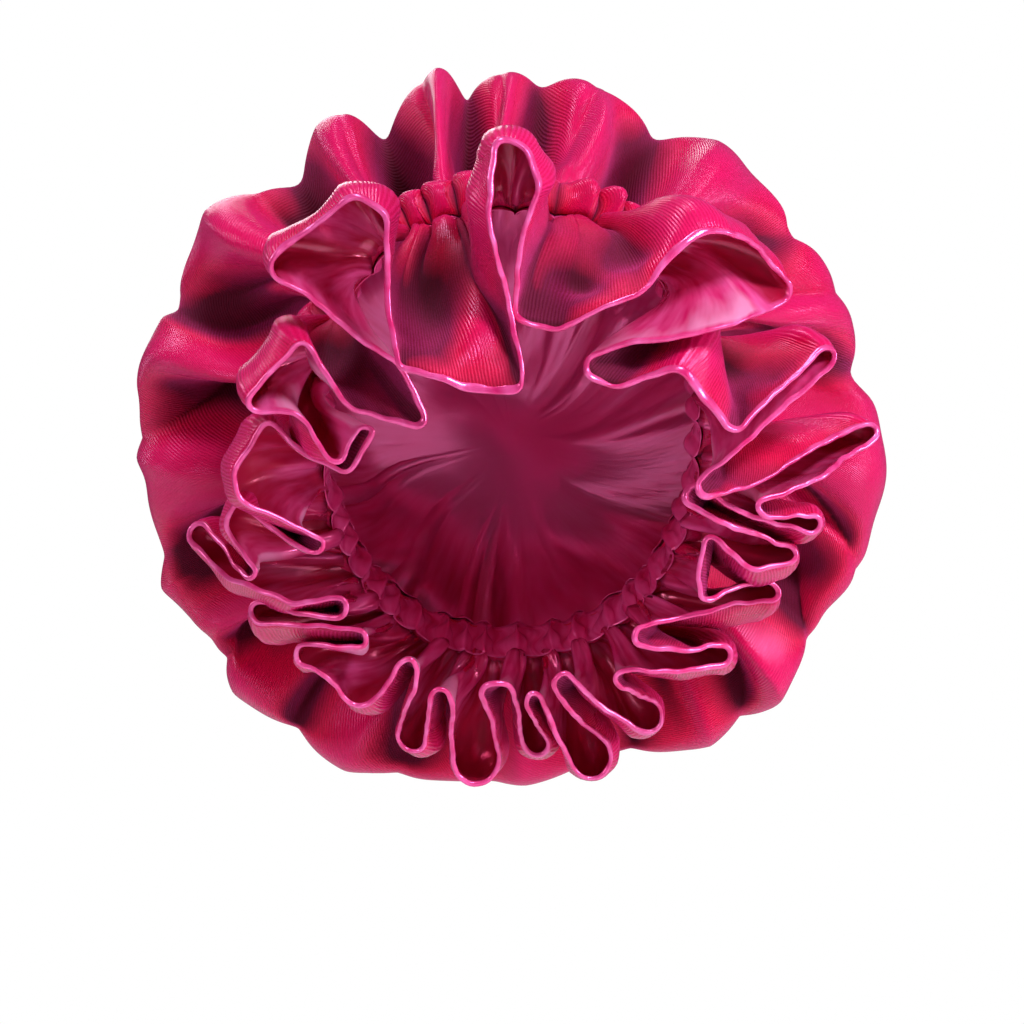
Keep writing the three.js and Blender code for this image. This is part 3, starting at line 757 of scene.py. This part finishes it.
def crownGrid():
    c = np.linspace(0, len(lobes), crown["columns"], endpoint=False)
    i = c.astype(int)
    t = c - i
    valley, top = lobes[i, :2], lobes[i, 2:4] - lobes[i, :2]
    following = lobes[(i + 1) % len(lobes)]
    chord = following[:, :2] - valley
    topAt = np.clip((top * chord).sum(1) / (chord ** 2).sum(1), 0.3, 0.7)
    lift = top - chord * topAt[:, None]
    rising = np.where(t < topAt, t / topAt, 1 + (t - topAt) / (1 - topAt))    # 1 at the lobe's top
    bump = np.sin(np.pi * rising / 2) ** crown["round"]
    outline = blurRound(valley + chord * t[:, None] + lift * bump[:, None], 2)
    deg = lobes[i, 4] + ((following[:, 4] - lobes[i, 4]) % 360) * t
    bump = blurRound(bump, 3)

    # front: a cubic curve that leaves the band in its plane and reaches the outline on its way back
    start = bandPoint(deg) - forward * (band["wide"] + 0.2)
    widestY = crown["widest"] - crown["slope"] * outline[:, 1]
    end = np.stack([outline[:, 0], widestY, outline[:, 1]], -1)
    whole = end - start
    out = whole - forward * (whole @ forward)[:, None]
    pull = end - np.array([0, 1, 0]) * (crown["roll"] * np.hypot(whole[:, 0], whole[:, 2]))[:, None]
    s = (np.linspace(0, 1, crown["frontRows"]) ** crown["frontPower"])[None, :, None]
    p0, p1, p2, p3 = (p[:, None] for p in (start, start + out * crown["rise"], pull, end))
    front = p0 * (1 - s) ** 3 + p1 * 3 * s * (1 - s) ** 2 + p2 * 3 * s * s * (1 - s) + p3 * s ** 3

    # back: a dome over the outline, whose lobes fade into an even curve
    even = blurRound(outline, crown["evenBlur"])
    s = np.linspace(0, 1, crown["backRows"] + 1)[1:-1][None, :]
    reach = np.cos(s * np.pi / 2)
    depth = widestY[:, None] + (crown["backY"] - widestY[:, None]) * np.sin(s * np.pi / 2)
    fade = smooth(s * 1.5)[..., None]
    shape = outline[:, None] * (1 - fade) + even[:, None] * fade
    back = np.stack([shape[..., 0] * reach, depth,
                     crown["backZ"] + (shape[..., 1] - crown["backZ"]) * reach], -1)
    return np.concatenate([front, back], 1), deg, bump


# Lift of the bag's own folds: each row of the table is a ridge or valley with a rounded cross profile
# that swells and fades along its way.
def foldLift(deg, fromBand, perDegree):
    lift = np.zeros_like(fromBand)
    for at, drift, near, far, height, wide in bagFolds:
        along = np.clip((fromBand - near) / (far - near), 0, 1)
        aside = ((deg[:, None] - at - drift * along + 180) % 360 - 180) * perDegree
        across = np.exp(-(np.abs(aside) / wide) ** crown["foldPower"])
        lift += crown["folds"] * height * across * np.sin(np.pi * along) ** 0.8
    return lift


bag, bagDeg, bump = crownGrid()
pole = np.array([0, crown["backY"], crown["backZ"]])
steps = np.linalg.norm(np.diff(bag, axis=1), axis=2)
fromBand = np.concatenate([np.zeros((len(bag), 1)), np.cumsum(steps, 1)], 1)
toPole = fromBand[:, -1:] + np.linalg.norm(bag[:, -1] - pole, axis=1)[:, None]
perDegree = np.hypot(bag[..., 0], bag[..., 2] - crown["backZ"]) * np.pi / 180
calm = smooth((toPole - fromBand - crown["poleCalm"]) / crown["poleFades"])    # quiet toward the pole
ahead = fromBand / fromBand[:, crown["frontRows"] - 1:crown["frontRows"]]    # 1 where the outline is
fullness = 1 - crown["outlineKeeps"] * np.exp(-((ahead - 1) / crown["outlineWide"]) ** 2)
lift = foldLift(bagDeg, fromBand, perDegree) * fullness

# valleys between the lobes, calmer at the nape where the ruffle needs room, and gathers at the band
fromNape = (bagDeg[:, None] - crown["napeAt"]) / crown["napeWide"]
valley = (1 - bump ** 1.6)[:, None] ** 0.85 * (1 - crown["napeCalm"] * np.exp(-fromNape ** 2))
lift -= crown["crease"] * valley * np.sin(np.pi * np.clip(ahead, 0, 1) ** crown["creasePower"]) ** 1.1
gathered = crown["gather"] * gatherWave(bagDeg)[:, None]
lift += gathered * np.exp(-(fromBand / crown["gatherLong"]) ** 2) * smooth((fromBand + 2) / 5)
bag = bag - gridNormals(blurRound(bag, crown["normalBlur"])) * (lift * calm)[..., None]

# soft drift and wrinkles where the cloth lies loosely; the wrinkles run long along the cloth's fall,
# because their field turns round the pole and hardly changes from band to pole
loosely = smooth(fromBand / 50) * (0.4 + 0.6 * smooth((ahead - 1) / 0.5))
turned = np.radians(bagDeg)[:, None] + 0 * fromBand
radial = np.stack([crown["wrinkleRound"] * np.cos(turned), crown["wrinkleRound"] * np.sin(turned),
                   crown["wrinkleFall"] * fromBand], -1)
wrinkles = creases(radial, 46, 0.22, 31) + 0.6 * creases(radial, 30, 0.2, 33)
bag = bag + softPush(bag, crown["swayLong"], 21) * (crown["sway"] * loosely)[..., None]
inward = gridNormals(blurRound(bag, crown["normalBlur"]))
bag = bag + inward * (crown["wrinkle"] * wrinkles * calm * loosely)[..., None]
bagNormals = -gridNormals(bag)

# the circle's flat place, turned so that the ribs run along the map's second direction
angle = np.radians(bagDeg - cut["ribsAt"])[:, None]
flatRadius = cut["bag"] * (1 - fromBand / toPole)
flat = np.stack([np.sin(angle) * flatRadius, np.cos(angle) * flatRadius], -1)
around = np.linalg.norm(np.roll(bag, -1, 0) - bag, axis=2).sum(0)
looseness = smooth(around / (2 * np.pi * flatRadius.mean(0)) * 1.1)[None, :] + 0 * fromBand
# the relief masks painted shade in hollows and painted highlight on crests; the satin takes it turned
# over
bagRelief = (reliefOf(bag, bagNormals, crown["reliefWide"], crown["reliefTall"])
             + reliefOf(bag, bagNormals, crown["reliefWide"] * 2.4, crown["reliefTall"] * 2)) / 2
crownVelvet = gridPiece("crownVelvet", bag - bagNormals * crown["velvetThick"] / 2, flat, velvet,
                        crown["velvetThick"], looseness, bagRelief,
                        pole=pole - [0, crown["velvetThick"] / 2, 0])

# the satin's flat place is an even strip, so its puckers run from the band toward the pole
around = np.unwrap(np.radians(bagDeg))[:, None] * crown["satinRound"] + 0 * fromBand
flat = np.stack([around, fromBand], -1)
crownSatin = gridPiece("crownSatin", bag - bagNormals * crown["satinIn"], flat, satin,
                       crown["satinThick"], calm, 1 - bagRelief,
                       pole=pole - [0, crown["satinIn"], 0], lap=2 * math.pi * crown["satinRound"])
print("crown made")


def circleArea(radius):
    return math.pi * (radius * mm) ** 2


# what each piece stands for, its finish and the flat cut that it was made from
bagFlat = (2 * cut["bag"] * mm, 2 * cut["bag"] * mm)
ruffleFlat = (cut["ruffleLong"] * mm, cut["ruffleWide"] * mm)
casingFlat = (cut["casingLong"] * mm, cut["casingWide"] * mm)
pieces = [
    (crownVelvet, "crown_shell", "crown_velvet", bagFlat, circleArea(cut["bag"])),
    (crownSatin, "crown_lining", "crown_satin", bagFlat, circleArea(cut["bag"])),
    (ruffleVelvet, "ruffle_velvet", "ruffle_velvet", ruffleFlat, None),
    (ruffleSatin, "ruffle_lining", "ruffle_satin", ruffleFlat, None),
    (bandVelvet, "band_casing", "casing_velvet", casingFlat, None),
    (bandSatin, "band_casing", "ruffle_satin", casingFlat, None),
]
for piece, solid, slot, size, area in pieces:
    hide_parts(solid)
    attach(piece, "root")


# Studio: a pale floor below, pale air all round, soft area lights, a level camera with a long lens.
studio = {"floor": -0.6, "half": 2.4, "floorColor": 0.9, "floorGlow": 0.55, "backdrop": 1.0,
          "air": 0.08}


def makeFloor():
    reach, low = studio["half"], studio["floor"]
    corners = [(-reach, -reach, low), (reach, -reach, low), (reach, reach, low), (-reach, reach, low)]
    mesh = bpy.data.meshes.new("floor")
    mesh.from_pydata(corners, [], [[0, 1, 2, 3]])
    material = bpy.data.materials.new("paleFloor")
    material.use_nodes = True
    shader = material.node_tree.nodes["Principled BSDF"]
    shader.inputs["Base Color"].default_value = (studio["floorColor"],) * 3 + (1,)
    shader.inputs["Roughness"].default_value = 0.9
    shader.inputs["Emission Color"].default_value = (studio["floorGlow"],) * 3 + (1,)
    seen = node(material.node_tree, "ShaderNodeLightPath", (-300, -300))
    material.node_tree.links.new(seen.outputs["Is Camera Ray"], shader.inputs["Emission Strength"])
    mesh.materials.append(material)
    piece = bpy.data.objects.new("floor", mesh)
    bpy.context.scene.collection.objects.link(piece)


# The air looks pale to the camera and gives only a little light.
def makeAir():
    world = bpy.data.worlds.new("studioAir")
    world.use_nodes = True
    tree = world.node_tree
    seen = node(tree, "ShaderNodeLightPath", (-600, 200))
    strength = node(tree, "ShaderNodeMix", (-300, 200), data_type="FLOAT")
    strength.inputs["A"].default_value = studio["air"]
    strength.inputs["B"].default_value = studio["backdrop"]
    tree.links.new(seen.outputs["Is Camera Ray"], strength.inputs["Factor"])
    tree.nodes["Background"].inputs["Color"].default_value = (1, 1, 1, 1)
    tree.links.new(strength.outputs["Result"], tree.nodes["Background"].inputs["Strength"])
    bpy.context.scene.world = world


makeFloor()
makeAir()
bpy.context.scene.view_settings.view_transform = "Standard"

# name, place in metres, size, power
lamps = [
    ("keyLight", (0.8, -1.4, 1.2), 0.4, 32),
    ("fillLight", (-1.5, -1.4, 0.5), 0.6, 9),
    ("topLight", (-0.3, -0.1, 1.5), 0.3, 9),
    ("rightLight", (1.5, -0.5, 0.1), 0.35, 15),
    ("leftLight", (-1.5, 0.2, 0.5), 0.35, 5),
    ("backLight", (-0.5, 1.6, 0.9), 0.7, 7),
]
for name, place, size, watts in lamps:
    lamp = bpy.data.lights.new(name, "AREA")
    lamp.energy, lamp.size = watts, size
    holder = bpy.data.objects.new(name, lamp)
    holder.location = place
    holder.rotation_euler = (-Vector(place)).to_track_quat("-Z", "Y").to_euler()
    bpy.context.scene.collection.objects.link(holder)

# 0.40 mm a pixel at the bonnet's middle, 1024 pixels wide
view = {"x": 0.0008, "z": -0.0328, "away": 1.6, "span": 0.4096, "sensor": 36.0}
lens = bpy.data.cameras.new("camera")
lens.sensor_width = view["sensor"]
lens.lens = view["sensor"] * view["away"] / view["span"]
camera = bpy.data.objects.new("camera", lens)
camera.location = (view["x"], -view["away"], view["z"])
camera.rotation_euler = (math.pi / 2, 0, 0)
bpy.context.scene.collection.objects.link(camera)
bpy.context.scene.camera = camera
